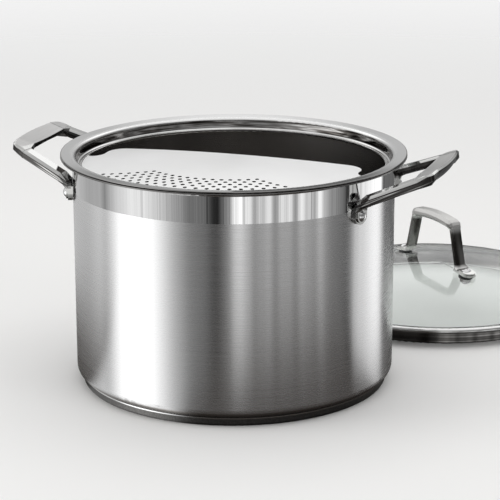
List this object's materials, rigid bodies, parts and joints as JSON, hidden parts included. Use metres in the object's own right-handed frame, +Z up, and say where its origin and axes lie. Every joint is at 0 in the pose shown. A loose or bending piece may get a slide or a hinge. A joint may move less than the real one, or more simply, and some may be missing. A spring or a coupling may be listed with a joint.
{
  "type": "stock pot",
  "caption": "Tall stock pot with two riveted loop handles, a lift-out domed strainer insert with a pouring opening, and a domed glass lid with a steel edge resting beside it.",
  "frame": {"origin": "centre of the pot's foot on the table", "axes": "+Z up, the two loop handles along X, the strainer holes toward -Y and the pouring opening toward +Y"},
  "size_m": [0.3932, 0.4868, 0.1795],
  "materials": {
    "body_steel": "brushed around the body, mirror polished band under the rim",
    "core_aluminium": "plain",
    "base_steel": "satin",
    "handle_steel": "brushed grip, polished legs",
    "rivet_steel": "polished",
    "insert_steel": "satin plate, polished flange",
    "lid_glass": "clear",
    "rim_steel": "polished",
    "gasket_rubber": "matte"
  },
  "bodies": {
    "pot": {"pot_body": "body_steel", "base_core": "core_aluminium", "base_cap": "base_steel", "handle_left": "handle_steel", "handle_right": "handle_steel", "handle_rivets": "rivet_steel"},
    "insert": {"strainer_insert": "insert_steel"},
    "lid": {"lid_glass": "lid_glass", "lid_rim": "rim_steel", "lid_handle": "handle_steel", "lid_gaskets": "gasket_rubber", "lid_screws": "rivet_steel", "lid_nuts": "rivet_steel"}
  },
  "joints": [
    {"name": "insert_lift", "type": "slide", "parent": "pot", "child": "insert", "axis": [0, 0, 1], "range_m": [0, 0.15]},
    {"name": "lid_lift", "type": "slide", "parent": "pot", "child": "lid", "axis": [0.2402, 0.5498, 0.8], "range_m": [0, 0.25]}
  ]
}
